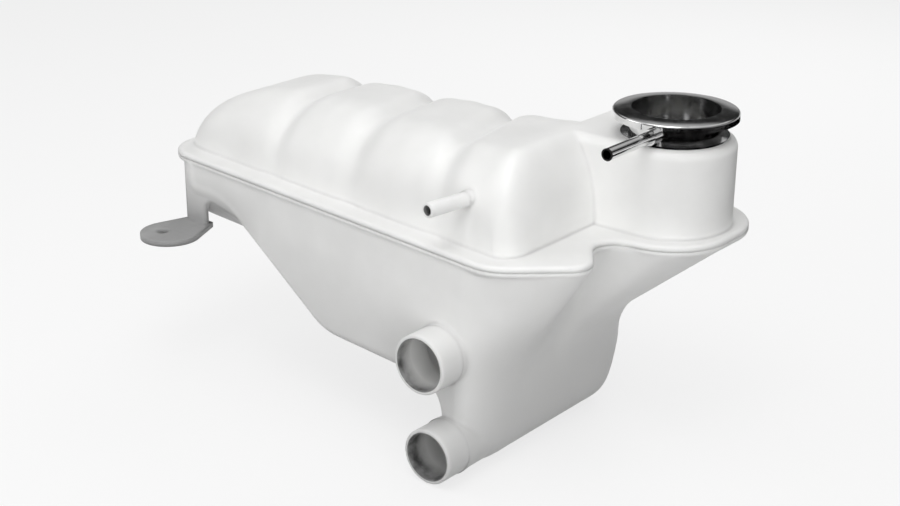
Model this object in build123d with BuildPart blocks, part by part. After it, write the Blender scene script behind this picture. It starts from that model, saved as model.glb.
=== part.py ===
from build123d import *
import os
from math import cos, radians, sin, sqrt, tan

# Coolant expansion tank: two plastic shells welded along a wide rim, a pressed metal filler neck with
# its seal, and an overflow pipe brazed into the neck.
# Frame: origin on the filler axis at the top of the cap flange, +X along the tank towards the filler
# end, +Y towards the back, +Z up. Millimetres.

# Walls and levels
wall = 3.0
rim_z = -60.0
flange_t = 3.0
weld_z = rim_z - flange_t
rim_edge_r = 2.0
rim_overhang = 3.0
front_overhang = 0.6

# Rim outline: the front edge runs at a small angle to X, so the tank is wider at the filler end
front_skew = 6.0
rim_front_y = -118.5
rim_left_x = -293.0
rim_back_y = 42.0
rim_corner_r = 24.0
lobe_near_x = -29.0
lobe_near_r = 24.0
lobe_far_x = 9.0
lobe_far_y = -81.0
lobe_far_r = 12.0
notch_x = -18.0
notch_back_y = -44.5
notch_r = 12.0
tower_ledge = 5.0
tower_ledge_y = -36.0
tower_ledge_r = 34.0

# Dome: a long vault with three shallow grooves across it
dome_left_x = -288.0
dome_right_x = -25.0
dome_ledge = 12.5
dome_back_y = 17.5
dome_top_z = -13.4
dome_fall = 0.031
shoulder_left = 0.2
shoulder_first = 0.4
shoulder_right = 0.24
shoulder_back = 0.325
dome_left_round = 85.0
dome_left_power = 2.4
dome_right_round = 22.0
dome_right_power = 2.0
dome_corner_r = 14.0
groove_x = (-207.0, -153.0, -97.0)
groove_w = 19.0
groove_depth = 4.0
groove_front = 0.2
groove_skew = 11.0
scallop_w = 60.0
scallop_depth = 2.0
left_steps = (8, 20, 35, 50, 65)
right_steps = (8, 20, 35, 50, 65, 80)
groove_shares = (-1.1, -0.5, -0.3, -0.15, 0.0, 0.15, 0.3, 0.5, 1.1)

# Filler tower
tower_r = 32.0
tower_length = 52.0
tower_top_z = -14.0
tower_edge_r = 5.0
tower_corner_r = 12.0

# Lower pan: floor depths are measured down from the ledge
pan_round = 26.0
pan_back_round = 38.0
pan_left_floor = 42.0
pan_edge_round = 11.0
pan_slope_left_x = -218.8
pan_slope_right_x = -156.1
pan_floor_left = 80.5
pan_floor_right = 80.8
pan_floor_r = 40.0
pan_arch_r = 20.0
sump_x = -54.2
sump_r = 15.1
sump_axis_z = -164.6
sump_front_round = 12.0
sump_back_round = 4.0
end_back_round = 24.0
sump_root_r = 12.0
sump_back_y = 25.5
sump_ramp = 22.0
sump_tail = 25.0
pan_corner_round = 12.0
flare_depth = 67.0
flare_lip = 5.0
flare_lip_r = 5.0
flare_r = 52.0
front_steps = (90, 65, 40, 20, 0)
back_steps = (0, 12, 24, 36, 48, 60, 70, 80)
middle_steps = 10
edge_share = 0.96
least_r = 1.0

# Hose spigots, all pointing to the front
spigot_end_y = -130.0
spigot_wall = 2.0
spigot_root = 15.5
mouth_r = 0.7
root_step = 0.5
root_taper = 4.0
lower_spigot_r = 14.75
upper_spigot_r = 15.75
upper_spigot_x = -59.8
upper_spigot_z = -115.4
spigot_depth = 40.0

# Bleed nipple on the dome
nipple_x = -61.0
nipple_z = -36.5
nipple_end_y = -122.0
nipple_r = 3.8
nipple_bore_r = 2.3
nipple_skew = 8.0
nipple_root = 25.0
nipple_depth = 44.0

# Fixing foot and tab
tab_z = -100.0
tab_t = 3.0
tab_x = -264.0
tab_y = -111.0
tab_end_r = 17.2
tab_hole_x = -267.5
tab_hole_y = -113.5
tab_hole_r = 3.3
leg_left_x = -274.0
leg_right_x = -257.0
leg_t = 3.0
arch_right_x = -214.0
arch_z = -82.5
arch_right_z = -90.0
arch_r = 9.0

# Filler neck, pressed from sheet
sheet = 1.0
flange_r = 32.25
flange_fall = 0.8
cam_skirt = 4.6
cam_gap_angle = -62.0
cam_gap_width = 56.0
cam_gap_depth = 2.0
neck_r = 23.7
neck_bead = 4.0
collar_t = 2.4
collar_z = -24.0
neck_clearance = 0.15
seat_r = 15.5
throat_lip = 4.0
rolled_r = 0.9
clinch = 1.6

# Neck seal and overflow pipe
seal_t = 2.2
pipe_r = 3.175
pipe_bore_r = 2.3
pipe_x = 3.0
pipe_z = -8.7
pipe_end_y = -65.5
pipe_boss_r = 4.2
pipe_boss_l = 6.0
braze_gap = 0.05


def moved(points, amounts):
    """Corners of a counter-clockwise outline after each edge has moved inwards by its own amount."""
    lines = []
    for i, point in enumerate(points):
        start = Vector(*point)
        along = (Vector(*points[(i + 1) % len(points)]) - start).normalized()
        lines.append((start + Vector(-along.Y, along.X) * amounts[i], along))
    corners = []
    for i, (q, v) in enumerate(lines):
        p, u = lines[i - 1]
        gap = q - p
        reach = (gap.X * v.Y - gap.Y * v.X) / (u.X * v.Y - u.Y * v.X)
        corners.append((p.X + u.X * reach, p.Y + u.Y * reach))
    return corners


def front_y(x, inset):
    """Front of the rim at a place along X, moved back by an inset."""
    return rim_front_y - x * tan(radians(front_skew)) + inset / cos(radians(front_skew))


# Rim outline, counter-clockwise from the far front corner
tower_edge_x = tower_r + tower_ledge
rim_points = [
    (rim_left_x, front_y(rim_left_x, 0)),
    (lobe_near_x, front_y(lobe_near_x, 0)),
    (lobe_far_x, lobe_far_y),
    (notch_x, notch_back_y),
    (tower_edge_x, tower_ledge_y),
    (tower_edge_x, rim_back_y),
    (rim_left_x, rim_back_y),
]
back_corner_r = tower_edge_x - rim_overhang
rim_radii = [rim_corner_r, lobe_near_r, lobe_far_r, notch_r, tower_ledge_r, back_corner_r, rim_corner_r]


def rim_plate(top_z, edge):
    """One flange of the rim, rounded along its outer edge above (edge 1) or below (edge 0)."""
    with BuildPart() as plate:
        with BuildSketch(Plane.XY.offset(top_z - flange_t)):
            with BuildLine():
                FilletPolyline(*rim_points, radius=rim_radii, close=True)
            make_face()
        extrude(amount=flange_t)
        fillet(plate.faces().filter_by(Axis.Z).sort_by(Axis.Z)[-edge].edges(), rim_edge_r)
    return plate.part


def eased(value, start, end):
    """A soft step from 0 at the start to 1 at the end."""
    share = min(1.0, max(0.0, (value - start) / (end - start)))
    return share * share * (3 - 2 * share)


def end_rise(distance, length, power):
    """Height of a rounded end as a share of the full height, at a distance in from it."""
    return sqrt(1 - (1 - min(1.0, distance / length)) ** power)


def groove_sink(x):
    """How far the vault is sunk at a place along X: narrow grooves, each in a broad scallop."""
    sink = 0.0
    for middle in groove_x:
        for width, depth in ((groove_w, groove_depth), (scallop_w, scallop_depth)):
            off = min(1.0, abs(x - middle) / (width / 2))
            sink += depth * (1 - off * off) ** 2
    return sink


def section_turn(x):
    """Turn of the vault's section about Z, in radians: none at the ends, most at the last groove."""
    return (radians(groove_skew) * eased(x, groove_x[0], groove_x[-1])
            * (1 - eased(x, groove_x[-1] + groove_w / 2, dome_right_x)))


def front_shoulder(x):
    """Width of the front shoulder as a share of the vault's width: widest at the first groove."""
    return (shoulder_left + (shoulder_first - shoulder_left) * eased(x, dome_left_x, groove_x[0])
            + (shoulder_right - shoulder_first) * eased(x, groove_x[0], dome_right_x))


def dome_form(inset, base_z):
    """The vault as one loft along X, moved inwards by an inset and standing on a base level."""
    left = dome_left_x + inset
    right = dome_right_x - inset
    stations = [left + dome_left_round * (1 - cos(radians(step))) for step in left_steps]
    stations += [right - dome_right_round * (1 - cos(radians(step))) for step in right_steps]
    for middle in groove_x:
        stations += [middle + share * groove_w for share in groove_shares]
    for before, after in zip(groove_x, groove_x[1:] + (dome_right_x,)):
        stations.append((before + after) / 2)
    with BuildPart() as form:
        for x in sorted(stations):
            sink = groove_sink(x)
            sunk = inset + sink
            turn = section_turn(x)
            corner = max(0.0, dome_corner_r - min(x - left, right - x))
            pinch = dome_corner_r - sqrt(dome_corner_r**2 - corner**2)
            front = front_y(x, dome_ledge + inset + groove_front * sink) + pinch
            front /= cos(turn) - tan(radians(front_skew)) * sin(turn)
            back = (dome_back_y - sunk - pinch) / cos(turn)
            rise = end_rise(x - left, dome_left_round, dome_left_power)
            rise *= end_rise(right - x, dome_right_round, dome_right_power)
            height = (dome_top_z + dome_fall * (x - dome_right_x) - sunk - base_z) * rise
            near = (back - front) * front_shoulder(x)
            far = (back - front) * shoulder_back
            across = Plane((x, 0, base_z), x_dir=(-sin(turn), cos(turn), 0),
                           z_dir=(cos(turn), sin(turn), 0))
            with BuildSketch(across):
                with BuildLine():
                    Line((front, 0), (back, 0))
                    EllipticalCenterArc((back - far, 0), far, height, 0, arc_size=90)
                    Line((back - far, height), (front + near, height))
                    EllipticalCenterArc((front + near, 0), near, height, 90, arc_size=90)
                make_face()
        loft()
    return form.part


def tower_form(inset, base_z):
    """The filler tower: round at its free end, running into the vault."""
    radius = tower_r - inset
    end = inset - tower_length
    with BuildPart() as form:
        with BuildSketch(Plane.XY.offset(base_z)):
            with BuildLine():
                FilletPolyline((0, -radius), (end, -radius), (end, radius), (0, radius),
                               radius=tower_corner_r - inset)
                ThreePointArc((0, radius), (radius, 0), (0, -radius))
            make_face()
        extrude(amount=tower_top_z - inset - base_z)
        fillet(form.faces().sort_by(Axis.Z)[-1].edges(), tower_edge_r - inset / 2)
    return form.part


def fitted(points, radii):
    """Corner radii of an outline, made smaller where two roundings need more than their edge."""
    edges = [Vector(*points[(i + 1) % len(points)]) - Vector(*point) for i, point in enumerate(points)]
    runs = [radii[i] * tan(radians(edges[i - 1].get_angle(edge) / 2)) for i, edge in enumerate(edges)]
    shares = []
    for i, edge in enumerate(edges):
        needed = runs[i] + runs[(i + 1) % len(runs)]
        shares.append(edge_share * edge.length / max(needed, edge_share * edge.length))
    return [radius * min(shares[i - 1], shares[i]) for i, radius in enumerate(radii)]


with BuildLine() as rim_line:
    FilletPolyline(*rim_points, radius=rim_radii, close=True)


def pan_reach(y, skew):
    """How far the pan reaches along a section: to the rim's edge at the filler end, less an overhang."""
    across = Axis((0, y, 0), (cos(skew), -sin(skew), 0))
    hits = [point for side in rim_line.edges() for point in side.find_intersection_points(across)]
    return max((hit - across.position).dot(across.direction) for hit in hits) - front_overhang


def pan_form(inset):
    """The lower pan with its sump as one loft from front to back, moved inwards by an inset."""
    front = front_y(0, front_overhang + inset)
    back = rim_back_y - rim_overhang - inset
    front_soft = pan_round - inset
    back_soft = pan_back_round - inset
    front_edge = pan_edge_round - inset
    sump_depth = rim_z - sump_axis_z + sump_r - pan_floor_right
    top = rim_overhang + wall + pan_round
    stations = []
    for step in front_steps:
        y = front + front_soft * (1 - sin(radians(step)))
        stations.append((y, 1.0, 1 - cos(radians(step)), pan_corner_round - inset, front_edge,
                         sump_front_round - inset, sump_front_round - inset))
    for step in range(1, middle_steps):
        share = step / middle_steps
        y = front + front_soft + (back - front - front_soft - back_soft) * share
        stations.append((y, 1 - share, 0.0, 0.0, 0.0, 0.0, 0.0))
    for step in back_steps:
        y = back - back_soft * (1 - sin(radians(step)))
        stations.append((y, 0.0, 1 - cos(radians(step)), back_soft, back_soft,
                         sump_back_round - inset, end_back_round - inset))
    with BuildPart() as form:
        for y, skew_share, squeeze, soft, edge_soft, near_soft, end_soft in stations:
            skew = radians(front_skew * skew_share)
            left = (rim_left_x + rim_overhang) / cos(skew)
            reach = pan_reach(y, skew)
            ended = eased(y, sump_back_y - sump_ramp, sump_back_y)
            bottom = pan_floor_right + sump_depth * (1 - ended) + sump_tail * ended
            points = [
                (left, top),
                (left, -pan_left_floor),
                (pan_slope_left_x, -pan_left_floor),
                (pan_slope_right_x, -pan_floor_left),
                (sump_x - sump_r, -pan_floor_right),
                (sump_x - sump_r, -bottom),
                (sump_x + sump_r, -bottom),
                (sump_x + sump_r, -flare_depth),
                (reach, -flare_lip),
                (reach, top),
            ]
            wide = inset + squeeze * soft
            edge = inset + squeeze * edge_soft
            side = inset + squeeze * (pan_round - inset)
            near = inset + squeeze * near_soft
            end = inset + squeeze * end_soft
            under = near + (wide - near) * ended
            amounts = [side, side, edge, edge, near, under, end, wide, wide, 0.0]
            radii = [
                0.0,
                max(least_r, pan_round - side),
                pan_arch_r + side,
                max(least_r, pan_floor_r - edge),
                sump_root_r + edge,
                max(least_r, sump_r - near),
                max(least_r, sump_r - end),
                flare_r + wide,
                flare_lip_r,
                0.0,
            ]
            across = Plane((0, y, rim_z), x_dir=(cos(skew), -sin(skew), 0),
                           z_dir=(-sin(skew), -cos(skew), 0))
            corners = moved(points, amounts)
            with BuildSketch(across):
                with BuildLine():
                    FilletPolyline(*corners, radius=fitted(corners, radii), close=True)
                make_face()
        loft()
    return form.part


def spigot(mouth, radius, depth, root):
    """Hose spigot from the plane of its mouth inwards, with a tapered collar at its root."""
    with BuildPart() as tube:
        with BuildSketch(mouth):
            Circle(radius)
        extrude(amount=-depth)
        fillet(tube.edges().filter_by(GeomType.CIRCLE).sort_by_distance(mouth.origin)[0], mouth_r)
        with BuildSketch(Plane(mouth.origin - mouth.z_dir * root, z_dir=-mouth.z_dir)):
            Circle(radius + root_step)
        extrude(amount=depth - root, taper=root_taper)
    return tube.part


# Upper shell: vault, filler tower and bleed nipple above one flange of the rim
seal_seat_r = neck_r + neck_clearance + seal_t
nipple_along = Vector(-sin(radians(nipple_skew)), -cos(radians(nipple_skew)), 0)
nipple_plane = Plane((nipple_x, nipple_end_y, nipple_z), z_dir=nipple_along)
with BuildPart() as upper_shell:
    add(rim_plate(rim_z, 1))
    add(dome_form(0, rim_z - flange_t / 2))
    add(tower_form(0, rim_z - flange_t / 2))
    add(spigot(nipple_plane, nipple_r, nipple_depth, nipple_root))
    add(dome_form(wall, weld_z - wall), mode=Mode.SUBTRACT)
    add(tower_form(wall, weld_z - wall), mode=Mode.SUBTRACT)
    with BuildSketch(nipple_plane):
        Circle(nipple_bore_r)
    extrude(amount=-nipple_depth, mode=Mode.SUBTRACT)
    # Collar that carries the metal neck, with a step at its mouth for the seal
    with BuildSketch(Plane.XY.offset(collar_z)):
        Circle(neck_r + neck_clearance + collar_t)
    extrude(amount=tower_top_z - wall / 2 - collar_z)
    with BuildSketch(Plane.XY.offset(collar_z)):
        Circle(neck_r + neck_clearance)
    extrude(amount=tower_top_z - collar_z, mode=Mode.SUBTRACT)
    with BuildSketch(Plane.XY.offset(tower_top_z - seal_t)):
        Circle(seal_seat_r)
    extrude(amount=seal_t, mode=Mode.SUBTRACT)
upper_shell.part.label = "upper_shell"

# Lower shell: pan and sump under the other flange, two hose spigots and the fixing foot
lower_mouth = Plane((sump_x, spigot_end_y, sump_axis_z), z_dir=(0, -1, 0))
upper_mouth = Plane((upper_spigot_x, spigot_end_y, upper_spigot_z), z_dir=(0, -1, 0))
with BuildPart() as lower_shell:
    add(pan_form(0))
    split(bisect_by=Plane.XY.offset(weld_z), keep=Keep.BOTTOM)
    add(rim_plate(weld_z, 0))
    add(spigot(lower_mouth, lower_spigot_r, spigot_depth, spigot_root))
    add(spigot(upper_mouth, upper_spigot_r, spigot_depth, spigot_root))
    # Foot: a web in the plane of the front wall, cut to an arch beside the pan, with a tab at its end
    foot_skew = radians(front_skew)
    foot_plane = Plane((0, front_y(0, front_overhang), 0), x_dir=(cos(foot_skew), -sin(foot_skew), 0),
                       z_dir=(-sin(foot_skew), -cos(foot_skew), 0))
    foot_left, foot_right, arch_end = (x / cos(foot_skew) for x in (leg_left_x, leg_right_x, arch_right_x))
    foot_top = weld_z - flange_t / 2
    with BuildSketch(foot_plane):
        with BuildLine():
            FilletPolyline((foot_left, foot_top), (foot_left, tab_z - tab_t), (foot_right, tab_z - tab_t),
                           (foot_right, arch_z), (arch_end, arch_right_z), (arch_end, foot_top),
                           radius=[0, 0, 0, arch_r, 0, 0], close=True)
        make_face()
    extrude(amount=-leg_t)
    with BuildSketch(Plane.XY.offset(tab_z - tab_t)):
        with Locations((tab_x, tab_y)):
            Circle(tab_end_r)
        foot_back = front_y(leg_left_x, front_overhang + leg_t)
        with Locations(((leg_left_x + leg_right_x) / 2, foot_back)):
            Rectangle(leg_right_x - leg_left_x, leg_t)
        make_hull()
    extrude(amount=tab_t)
    with BuildSketch(Plane.XY.offset(tab_z - tab_t)):
        with Locations((tab_hole_x, tab_hole_y)):
            Circle(tab_hole_r)
    extrude(amount=tab_t, mode=Mode.SUBTRACT)
    add(pan_form(wall), mode=Mode.SUBTRACT)
    for mouth, radius in ((lower_mouth, lower_spigot_r), (upper_mouth, upper_spigot_r)):
        with BuildSketch(mouth):
            Circle(radius - spigot_wall)
        extrude(amount=-spigot_depth, mode=Mode.SUBTRACT)
lower_shell.part.label = "lower_shell"

# Filler neck: cap flange with two cam skirts, cup, locating bead, clinched foot, seat and throat
seat_z = collar_z - clinch - sheet
with BuildPart() as filler_neck:
    with BuildSketch(Plane.XZ):
        with BuildLine():
            crown = TangentArc((neck_r - sheet, 0), (flange_r - rolled_r, -flange_fall), tangent=(1, 0))
            brim = TangentArc(crown @ 1, (flange_r, -flange_fall - rolled_r), tangent=crown % 1)
            Polyline(brim @ 1, (flange_r, -cam_skirt), (flange_r - sheet, -cam_skirt),
                     (flange_r - sheet, -flange_fall - sheet), (neck_r, -sheet),
                     (neck_r, tower_top_z + sheet),
                     (neck_r + neck_bead, tower_top_z + sheet), (neck_r + neck_bead, tower_top_z),
                     (neck_r, tower_top_z), (neck_r, collar_z), (neck_r + clinch, collar_z),
                     (neck_r + clinch, collar_z - sheet), (neck_r, seat_z), (seat_r + sheet, seat_z),
                     (seat_r + sheet, seat_z - throat_lip), (seat_r, seat_z - throat_lip),
                     (seat_r, seat_z + sheet), (neck_r - sheet, seat_z + sheet), crown @ 0)
        make_face()
    revolve(axis=Axis.Z)
    # Gaps in the skirt where a cap's ears enter
    for angle in (cam_gap_angle, cam_gap_angle + 180):
        half = cam_gap_width / 2
        beyond = flange_r / cos(radians(half)) + cam_gap_depth
        with BuildSketch(Plane.XY.offset(-cam_skirt)):
            with BuildLine():
                Polyline((0, 0), PolarLine((0, 0), beyond, angle - half, mode=Mode.PRIVATE) @ 1,
                         PolarLine((0, 0), beyond, angle + half, mode=Mode.PRIVATE) @ 1, close=True)
            make_face()
            Circle(flange_r - cam_gap_depth, mode=Mode.SUBTRACT)
        extrude(amount=cam_skirt - sheet - flange_fall, mode=Mode.SUBTRACT)
    with BuildSketch(Plane.XZ):
        with Locations((pipe_x, pipe_z)):
            Circle(pipe_r + braze_gap)
    extrude(amount=flange_r, mode=Mode.SUBTRACT)
filler_neck.part.label = "filler_neck"

# Neck seal: a rubber ring pressed between the neck's bead and the step in the collar
with BuildPart() as neck_seal:
    with BuildSketch(Plane.XY.offset(tower_top_z - seal_t)):
        Circle(seal_seat_r)
        Circle(neck_r, mode=Mode.SUBTRACT)
    extrude(amount=seal_t)
neck_seal.part.label = "neck_seal"

# Overflow pipe: a straight tube with a collar seated on the neck
with BuildPart() as overflow_pipe:
    with BuildSketch(Plane.XZ.offset(-pipe_end_y)):
        with Locations((pipe_x, pipe_z)):
            Circle(pipe_r)
    extrude(amount=pipe_end_y)
    with BuildSketch(Plane.XZ.offset(neck_r + pipe_boss_l)):
        with Locations((pipe_x, pipe_z)):
            Circle(pipe_boss_r)
    extrude(amount=-neck_r)
    with BuildSketch(Plane.XY.offset(pipe_z - pipe_boss_r)):
        Circle(neck_r + braze_gap)
    extrude(amount=2 * pipe_boss_r, mode=Mode.SUBTRACT)
    with BuildSketch(Plane.XZ.offset(-pipe_end_y)):
        with Locations((pipe_x, pipe_z)):
            Circle(pipe_bore_r)
    extrude(amount=pipe_end_y, mode=Mode.SUBTRACT)
overflow_pipe.part.label = "overflow_pipe"

os.makedirs("parts", exist_ok=True)
export_step(upper_shell.part, "parts/upper_shell.step")
export_step(lower_shell.part, "parts/lower_shell.step")
export_step(filler_neck.part, "parts/filler_neck.step")
export_step(neck_seal.part, "parts/neck_seal.step")
export_step(overflow_pipe.part, "parts/overflow_pipe.step")
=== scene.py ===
from math import cos, radians, sin, tan

import bpy
from mathutils import Matrix, Vector


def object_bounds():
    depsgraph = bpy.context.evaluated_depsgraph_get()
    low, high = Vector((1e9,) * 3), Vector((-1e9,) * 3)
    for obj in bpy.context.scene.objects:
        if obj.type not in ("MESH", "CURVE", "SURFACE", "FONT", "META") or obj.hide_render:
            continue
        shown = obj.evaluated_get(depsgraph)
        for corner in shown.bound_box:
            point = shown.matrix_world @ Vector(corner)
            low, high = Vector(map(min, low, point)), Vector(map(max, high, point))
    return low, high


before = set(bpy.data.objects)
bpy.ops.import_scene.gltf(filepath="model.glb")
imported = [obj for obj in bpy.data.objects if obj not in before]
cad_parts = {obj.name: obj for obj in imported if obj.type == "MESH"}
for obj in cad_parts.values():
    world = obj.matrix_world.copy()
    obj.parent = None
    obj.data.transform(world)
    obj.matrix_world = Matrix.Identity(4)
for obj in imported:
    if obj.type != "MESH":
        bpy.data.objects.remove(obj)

cad_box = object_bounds()

# All places and sizes are in metres, and greys are levels from 0 to 1

# Camera of the photograph
EYE = Vector((0.4071, -0.6724, 0.2249))
HEADING = radians(39.5)
PITCH = radians(21.4)
ROLL = radians(0.4)
LENS_MM = 64.0
SENSOR_MM = 36.0
CLIP_START = 0.01

# Floor: its grey as seen, as light bounces from it, and the share of it that shows real light and shadow
FLOOR_DROP = 0.0005
FLOOR_Z = cad_box[0][2] - FLOOR_DROP
FLOOR_HALF = 30.0
FLOOR_SEEN = 0.94
FLOOR_BOUNCE = 0.30
FLOOR_SHADOW = 0.2

# World by the height of a direction: pale low down, a dim band, and a soft sky
FOOT_LEVEL = 0.38
BAND_FROM = (0.20, 0.27)
BAND_TO = (0.46, 0.60)
BAND_LEVEL = 0.02
SKY_LEVEL = 0.55

# Soft square lamps that face the tank: place, power in watts, and whether shiny surfaces show the lamp
TANK_MIDDLE = Vector((-0.13, -0.04, -0.09))
LAMP_SIZE = 0.6
LAMPS = {
    "high": ((0.1, -0.55, 0.9), 3.4, True),
    "top": ((-0.13, -0.1, 0.9), 1.1, True),
    "left": ((-0.8, -0.6, 0.5), 1.9, True),
    "low": ((0.1, -0.9, 0.05), 1.7, False),
    "right": ((0.7, -0.55, 0.0), 3.6, False),
    "back": ((-0.35, 0.8, 0.5), 3.0, False),
}

# A lamp inside the tank stands for the light that comes through its milky walls
GLOW_PLACE = (-0.075, -0.03, -0.105)
GLOW_SIZE = 0.03
GLOW_POWER = 0.02

# A black card in a bow around the filler end, for the dark side of the metal
FLAG_REACH = 0.29
FLAG_FROM = radians(-112.0)
FLAG_TO = radians(100.0)
FLAG_STEPS = 24
FLAG_TOP = -0.06

# The range that most of a noise lies in
NOISE_SPAN = (0.3, 0.7)

# The plastic's body: colours, features per metre of each noise, and the height and strength of its relief
MILKY_DARK = (0.80, 0.80, 0.79, 1.0)
MILKY_PALE = (0.86, 0.86, 0.85, 1.0)
CLOUD_SCALE = 28.0
FLECK_SCALE = 420.0
WAVE_SCALE = 45.0
WAVE_RELIEF = (0.0012, 0.35)
GRAIN_SCALE = 1500.0
GRAIN_RELIEF = (0.00008, 0.5)
PLASTIC_ROUGH = (0.36, 0.46)
PLASTIC_IOR = 1.5
MILKY_SHARE = 0.2
MILKY_RADIUS = (1.0, 1.0, 0.95)
MILKY_DEPTH = 0.004
CREASE_R = 0.004
CREASE_SAMPLES = 8

# The plastic darkened towards the tab foot, and its painted shade towards the base: where each fades out,
# its grey, and how cloudy it is
FOOT_DARKEN_X = (-0.235, -0.205)
FOOT_DARKEN_Z = (-0.101, -0.070)
FOOT_DARKEN_LEVEL = 0.31
FOOT_DARKEN_CLOUD = (0.25, 0.6)
FOOT_DARKEN_SHARE = (0.75, 1.0)
BASE_SHADE_Z = (-0.185, -0.085)
BASE_SHADE_MOST = 0.75
BASE_SHADE_LEVEL = 0.45
BASE_SHADE_CLOUD = (0.25, 0.75)
BASE_SHADE_SHARE = (0.8, 1.0)

# Bores painted with shade: middle of the mouth, lean of the axis in X along Y, radius, depth of the painted
# shade and its grey
SHADED_BORES = (
    ((-0.0542, -0.130, -0.1646), 0.0, 0.0129, 0.006, 0.05),
    ((-0.0598, -0.130, -0.1154), 0.0, 0.0139, 0.002, 0.07),
    ((-0.0610, -0.122, -0.0365), tan(radians(8.0)), 0.0024, 0.030, 0.01),
)
BORE_EDGE = 0.0004
BORE_FADE = 0.008
BORE_SHADE_NOISE_SCALE = 160.0
BORE_SHADE_NOISE_SPAN = (0.35, 0.65)
BORE_SHADE_NOISE_SHARE = (0.7, 1.0)

# The plated metal: greys, features per metre, roughness, relief, and the painted shade at the open end of
# the pipe along Y
METAL_DARK = 0.72
METAL_PALE = 0.86
SMEAR_SCALE = 130.0
SMEAR_SPAN = (0.3, 0.75)
SMEAR_ROUGH = (0.05, 0.13)
LINES_SCALE = 2600.0
LINES_ROUGH = (0.0, 0.05)
LINES_RELIEF = (0.00002, 0.35)
PITS_SCALE = 900.0
PITS_RELIEF = (0.00003, 0.3)
PIPE_END = (-0.0653, -0.0649)
PIPE_END_SHADE_LEVEL = 0.02

# The rubber: greys, features per metre, roughness and relief
RUBBER_DARK = 0.018
RUBBER_DUSTY = 0.05
DUST_SCALE = 220.0
DUST_SPAN = (0.4, 0.75)
RUBBER_ROUGH = (0.62, 0.82)
RUBBER_SCALE = 1800.0
RUBBER_RELIEF = (0.0001, 0.6)


def add_camera():
    """The camera at the photograph's place."""
    forward = Vector((-sin(HEADING) * cos(PITCH), cos(HEADING) * cos(PITCH), -sin(PITCH)))
    level = Vector((cos(HEADING), sin(HEADING), 0.0))
    up = level.cross(forward)
    right = level * cos(ROLL) + up * sin(ROLL)
    up = right.cross(forward)
    data = bpy.data.cameras.new("camera")
    data.lens = LENS_MM
    data.sensor_width = SENSOR_MM
    data.clip_start = CLIP_START
    camera = bpy.data.objects.new("camera", data)
    turn = Matrix((right, up, -forward)).transposed().to_4x4()
    camera.matrix_world = Matrix.Translation(EYE) @ turn
    bpy.context.collection.objects.link(camera)
    bpy.context.scene.camera = camera


def add_glow():
    """A soft lamp inside the tank."""
    data = bpy.data.lights.new("glow", "POINT")
    data.energy = GLOW_POWER
    data.shadow_soft_size = GLOW_SIZE
    glow = bpy.data.objects.new("glow", data)
    glow.location = GLOW_PLACE
    bpy.context.collection.objects.link(glow)


def add_lamp(name, place, power, shown):
    """A square soft lamp that faces the tank."""
    data = bpy.data.lights.new(name, "AREA")
    data.shape = "SQUARE"
    data.size = LAMP_SIZE
    data.energy = power
    lamp = bpy.data.objects.new(name, data)
    lamp.location = place
    lamp.rotation_euler = (TANK_MIDDLE - Vector(place)).to_track_quat("-Z", "Y").to_euler()
    lamp.visible_glossy = shown
    bpy.context.collection.objects.link(lamp)


class Nodes:
    """Short calls for building one node tree."""

    def __init__(self, tree):
        self.tree = tree
        tree.nodes.clear()

    def add(self, kind, links=(), **settings):
        """A node with its settings, and links given as (own socket, source socket or value)."""
        node = self.tree.nodes.new(kind)
        for key, value in settings.items():
            setattr(node, key, value)
        for socket, source in links:
            if isinstance(source, bpy.types.NodeSocket):
                self.tree.links.new(source, node.inputs[socket])
            else:
                node.inputs[socket].default_value = source
        return node

    def place(self):
        """The place on the object's surface, whole and cut into X, Y and Z."""
        whole = self.add("ShaderNodeTexCoord").outputs["Object"]
        return whole, self.add("ShaderNodeSeparateXYZ", ((0, whole),)).outputs

    def noise(self, place, scale, detail=2.0, rough=0.5):
        """Noise at a number of features per metre."""
        made = self.add("ShaderNodeTexNoise",
                        (("Vector", place), ("Scale", scale), ("Detail", detail), ("Roughness", rough)))
        return made.outputs["Fac"]

    def span(self, value, low, high, to_low, to_high):
        """A value brought from one range to another, held at its ends."""
        made = self.add("ShaderNodeMapRange", (("Value", value), ("From Min", low), ("From Max", high),
                                               ("To Min", to_low), ("To Max", to_high)))
        return made.outputs["Result"]

    def math(self, operation, first, second=0.0):
        """One step of arithmetic on two values."""
        made = self.add("ShaderNodeMath", ((0, first), (1, second)), operation=operation)
        return made.outputs["Value"]

    def distance(self, first, second):
        """The length of a step with two parts at right angles."""
        squares = [self.math("MULTIPLY", part, part) for part in (first, second)]
        return self.math("SQRT", self.math("ADD", *squares))

    def tint(self, share, first, second):
        """A colour between two, by the mix node's colour sockets."""
        made = self.add("ShaderNodeMix", (("Factor", share), (6, first), (7, second)), data_type="RGBA")
        return made.outputs[2]

    def bump(self, height, distance, strength, under=None):
        """A bump of a height in metres, over another where one is given."""
        made = self.add("ShaderNodeBump",
                        (("Height", height), ("Distance", distance), ("Strength", strength)))
        if under is not None:
            self.tree.links.new(under, made.inputs["Normal"])
        return made.outputs["Normal"]


def new_material(name):
    """A material with its nodes and a function that ends them with a shader."""
    material = bpy.data.materials.new(name)
    material.use_nodes = True
    nodes = Nodes(material.node_tree)
    output = nodes.add("ShaderNodeOutputMaterial")

    def end(shader):
        nodes.tree.links.new(shader.outputs[0], output.inputs["Surface"])
        return material

    return nodes, end


def grey(level):
    """A grey colour."""
    return (level, level, level, 1.0)


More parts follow.
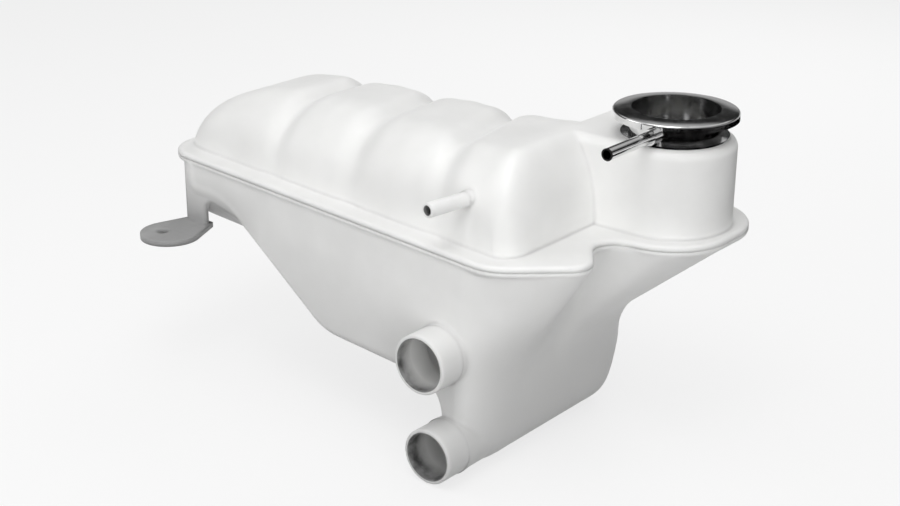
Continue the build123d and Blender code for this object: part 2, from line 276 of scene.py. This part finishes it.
def bore_share(nodes, cut, mouth, lean, radius, depth):
    """1 inside a bore near its mouth, falling off at its radius and at a depth along Y."""
    inwards = nodes.math("SUBTRACT", cut["Y"], mouth[1])
    aside = nodes.math("SUBTRACT", cut["X"], mouth[0])
    aside = nodes.math("SUBTRACT", aside, nodes.math("MULTIPLY", inwards, lean))
    above = nodes.math("SUBTRACT", cut["Z"], mouth[2])
    inside = nodes.span(nodes.distance(aside, above), radius, radius + BORE_EDGE, 1.0, 0.0)
    return nodes.math("MULTIPLY", inside, nodes.span(inwards, depth, depth + BORE_FADE, 1.0, 0.0))


def plastic_material():
    """Milky moulded plastic, softly waved and grained, darkened towards the tab foot, with painted shade
    towards its base and in its bores.
    """
    nodes, end = new_material("tank_plastic")
    place, cut = nodes.place()
    cloud = nodes.noise(place, CLOUD_SCALE, 3.0)
    colour = nodes.tint(nodes.span(cloud, *NOISE_SPAN, 0.0, 1.0), MILKY_DARK, MILKY_PALE)
    # Painted shade: the plastic is darkened towards the bottom of the tank
    dull = nodes.math("MULTIPLY", nodes.span(cut["Z"], *BASE_SHADE_Z, BASE_SHADE_MOST, 0.0),
                      nodes.span(cloud, *BASE_SHADE_CLOUD, *BASE_SHADE_SHARE))
    colour = nodes.tint(dull, colour, grey(BASE_SHADE_LEVEL))
    # The plastic is darkened towards the tab foot at the left end of the tank
    foot_darken = nodes.math("MULTIPLY", nodes.span(cut["X"], *FOOT_DARKEN_X, 1.0, 0.0),
                       nodes.span(cut["Z"], *FOOT_DARKEN_Z, 1.0, 0.0))
    foot_darken = nodes.math("MULTIPLY", foot_darken, nodes.span(cloud, *FOOT_DARKEN_CLOUD, *FOOT_DARKEN_SHARE))
    colour = nodes.tint(foot_darken, colour, grey(FOOT_DARKEN_LEVEL))
    # Painted shade inside the bores, broken up by a noise
    bore_shade_noise = nodes.span(nodes.noise(place, BORE_SHADE_NOISE_SCALE, 3.0), *BORE_SHADE_NOISE_SPAN, *BORE_SHADE_NOISE_SHARE)
    for mouth, lean, radius, depth, shade_level in SHADED_BORES:
        share = nodes.math("MULTIPLY", bore_share(nodes, cut, mouth, lean, radius, depth), bore_shade_noise)
        colour = nodes.tint(share, colour, grey(shade_level))
    rough = nodes.span(nodes.noise(place, FLECK_SCALE), *NOISE_SPAN, *PLASTIC_ROUGH)
    soft = nodes.add("ShaderNodeBevel", (("Radius", CREASE_R),), samples=CREASE_SAMPLES).outputs["Normal"]
    relief = nodes.bump(nodes.noise(place, WAVE_SCALE, 1.0), *WAVE_RELIEF, soft)
    relief = nodes.bump(nodes.noise(place, GRAIN_SCALE), *GRAIN_RELIEF, relief)
    return end(nodes.add("ShaderNodeBsdfPrincipled", (
        ("Base Color", colour), ("Roughness", rough), ("Normal", relief), ("IOR", PLASTIC_IOR),
        ("Subsurface Weight", MILKY_SHARE), ("Subsurface Radius", MILKY_RADIUS),
        ("Subsurface Scale", MILKY_DEPTH))))


def metal_material(name, along):
    """Bright plated metal with fine drawn lines, around the filler axis or along Y."""
    nodes, end = new_material(name)
    place, cut = nodes.place()
    if along == "round":
        parts = ((0, nodes.distance(cut["X"], cut["Y"])), (1, cut["Z"]))
    else:
        parts = ((0, cut["X"]), (2, cut["Z"]))
    lines = nodes.noise(nodes.add("ShaderNodeCombineXYZ", parts).outputs[0], LINES_SCALE)
    smear = nodes.noise(place, SMEAR_SCALE, 3.0)
    colour = nodes.tint(nodes.span(smear, *SMEAR_SPAN, 0.0, 1.0), grey(METAL_DARK), grey(METAL_PALE))
    # Painted shade: the open end of the pipe is painted nearly black
    if along == "straight":
        colour = nodes.tint(nodes.span(cut["Y"], *PIPE_END, 1.0, 0.0), colour, grey(PIPE_END_SHADE_LEVEL))
    rough = nodes.math("ADD", nodes.span(smear, *NOISE_SPAN, *SMEAR_ROUGH),
                       nodes.span(lines, *NOISE_SPAN, *LINES_ROUGH))
    relief = nodes.bump(lines, *LINES_RELIEF)
    relief = nodes.bump(nodes.noise(place, PITS_SCALE, 3.0), *PITS_RELIEF, relief)
    return end(nodes.add("ShaderNodeBsdfPrincipled", (
        ("Base Color", colour), ("Metallic", 1.0), ("Roughness", rough), ("Normal", relief))))


def rubber_material():
    """Dull black rubber with a dusty, grained skin."""
    nodes, end = new_material("seal_rubber")
    place, _ = nodes.place()
    dust = nodes.noise(place, DUST_SCALE, 3.0)
    colour = nodes.tint(nodes.span(dust, *DUST_SPAN, 0.0, 1.0), grey(RUBBER_DARK), grey(RUBBER_DUSTY))
    rough = nodes.span(dust, *NOISE_SPAN, *RUBBER_ROUGH)
    relief = nodes.bump(nodes.noise(place, RUBBER_SCALE), *RUBBER_RELIEF)
    return end(nodes.add("ShaderNodeBsdfPrincipled", (
        ("Base Color", colour), ("Roughness", rough), ("Normal", relief))))


def floor_material():
    """A pale floor in pictures and reflections, with a soft shadow, and a duller one for bounced light."""
    nodes, end = new_material("floor")
    lit = nodes.add("ShaderNodeBsdfDiffuse", (("Color", grey(FLOOR_SEEN)),))
    plain = nodes.add("ShaderNodeEmission", (("Color", grey(FLOOR_SEEN)), ("Strength", 1.0)))
    shown = nodes.add("ShaderNodeMixShader", ((0, FLOOR_SHADOW), (1, plain.outputs[0]), (2, lit.outputs[0])))
    dull = nodes.add("ShaderNodeBsdfDiffuse", (("Color", grey(FLOOR_BOUNCE)),))
    path = nodes.add("ShaderNodeLightPath").outputs
    seen = nodes.math("MAXIMUM", path["Is Camera Ray"], path["Is Glossy Ray"])
    seen = nodes.math("MAXIMUM", seen, path["Is Transmission Ray"])
    return end(nodes.add("ShaderNodeMixShader", ((0, seen), (1, dull.outputs[0]), (2, shown.outputs[0]))))


def black_material():
    """Plain black."""
    nodes, end = new_material("flag")
    return end(nodes.add("ShaderNodeBsdfDiffuse", (("Color", grey(0.0)),)))


def add_stage(name, corners, faces, material):
    """An object of the studio, which isn't part of the tank."""
    mesh = bpy.data.meshes.new(name)
    mesh.from_pydata(corners, [], faces)
    mesh.materials.append(material)
    made = bpy.data.objects.new(name, mesh)
    bpy.context.collection.objects.link(made)
    return made


def add_floor():
    """A pale plain floor under the tank."""
    corners = [(x * FLOOR_HALF, y * FLOOR_HALF, FLOOR_Z) for x, y in ((-1, -1), (1, -1), (1, 1), (-1, 1))]
    add_stage("floor", corners, [(0, 1, 2, 3)], floor_material())


def add_flag():
    """A black card around the filler end: it casts no shadow and only shows dark in the metal."""
    turns = [FLAG_FROM + (FLAG_TO - FLAG_FROM) * step / FLAG_STEPS for step in range(FLAG_STEPS + 1)]
    plan = [(FLAG_REACH * cos(turn), FLAG_REACH * sin(turn)) for turn in turns]
    corners = [(x, y, z) for z in (FLOOR_Z, FLAG_TOP) for x, y in plan]
    count = len(plan)
    faces = [(i, i + 1, i + 1 + count, i + count) for i in range(FLAG_STEPS)]
    flag = add_stage("flag", corners, faces, black_material())
    flag.visible_camera = False
    flag.visible_diffuse = False
    flag.visible_shadow = False


def add_world():
    """A plain studio: pale at the foot, a dim band above it, and a soft sky."""
    world = bpy.data.worlds.new("world")
    bpy.context.scene.world = world
    world.use_nodes = True
    nodes = Nodes(world.node_tree)
    output = nodes.add("ShaderNodeOutputWorld")
    towards = nodes.add("ShaderNodeTexCoord").outputs["Generated"]
    height = nodes.add("ShaderNodeSeparateXYZ", ((0, towards),)).outputs["Z"]
    low = nodes.span(height, *BAND_FROM, FOOT_LEVEL, BAND_LEVEL)
    high = nodes.span(height, *BAND_TO, 0.0, SKY_LEVEL - BAND_LEVEL)
    light = nodes.add("ShaderNodeBackground", (("Color", nodes.math("ADD", low, high)), ("Strength", 1.0)))
    nodes.tree.links.new(light.outputs[0], output.inputs["Surface"])


def dress(node, material):
    """Puts a material on a CAD node."""
    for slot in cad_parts[node].material_slots:
        slot.material = material


plastic = plastic_material()
for shell in ("upper_shell", "lower_shell"):
    dress(shell, plastic)
dress("filler_neck", metal_material("neck_metal", "round"))
dress("overflow_pipe", metal_material("pipe_metal", "straight"))
dress("neck_seal", rubber_material())

add_camera()
add_floor()
add_world()
add_flag()
add_glow()
for name, settings in LAMPS.items():
    add_lamp(name, *settings)
bpy.context.scene.view_settings.view_transform = "Standard"
